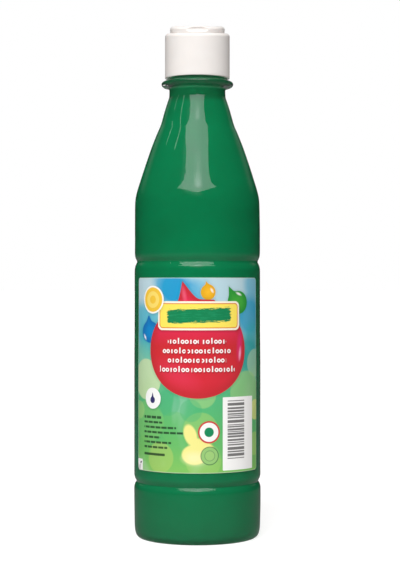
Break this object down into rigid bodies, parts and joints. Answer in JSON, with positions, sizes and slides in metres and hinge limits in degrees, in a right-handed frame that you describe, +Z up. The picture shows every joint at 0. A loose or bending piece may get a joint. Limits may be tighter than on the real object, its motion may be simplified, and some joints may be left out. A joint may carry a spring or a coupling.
{
  "type": "paint bottle",
  "caption": "Clear round squeeze bottle full of green poster paint, with a tapering shoulder, a support ring at the neck, a white flip-top screw cap and a printed front label.",
  "frame": {"origin": "middle of the base ring, on the surface that the bottle stands on", "axes": "+Z up along the bottle's axis; the label and the lid's thumb dimple face -Y; the lid's hinge is at +Y"},
  "size_m": [0.0608, 0.0611, 0.2442],
  "materials": {
    "clear_pet": "clear blow-moulded polyester, glossy",
    "green_paint": "wet opaque green paint",
    "label_film": "printed self-adhesive film, satin gloss",
    "liner_foam": "foamed polyethylene wad",
    "white_plastic": "injection-moulded white polypropylene, satin gloss"
  },
  "bodies": {
    "bottle_body": {"bottle": "clear_pet", "paint_fill": "green_paint", "front_label": "label_film"},
    "cap_carrier": {"cap_liner": "liner_foam"},
    "cap_body": {"cap_base": "white_plastic", "hinge_web": "white_plastic"},
    "lid_body": {"flip_lid": "white_plastic"}
  },
  "joints": [
    {"name": "cap_lift", "type": "slide", "parent": "bottle_body", "child": "cap_carrier", "axis": [0, 0, 1], "range_m": [0, 0.0048]},
    {"name": "cap_turn", "type": "hinge", "parent": "cap_carrier", "child": "cap_body", "pos_m": [0, 0, 0.23], "axis": [0, 0, 1], "range_deg": [0, 540]},
    {"name": "lid_flip", "type": "hinge", "parent": "cap_body", "child": "lid_body", "pos_m": [0, 0.0154, 0.2404], "axis": [-1, 0, 0], "range_deg": [0, 150], "deforming": ["hinge_web"]}
  ],
  "couplings": [
    {"joint": "cap_lift", "follows": "cap_turn", "m_per_rad": 0.00050611}
  ]
}
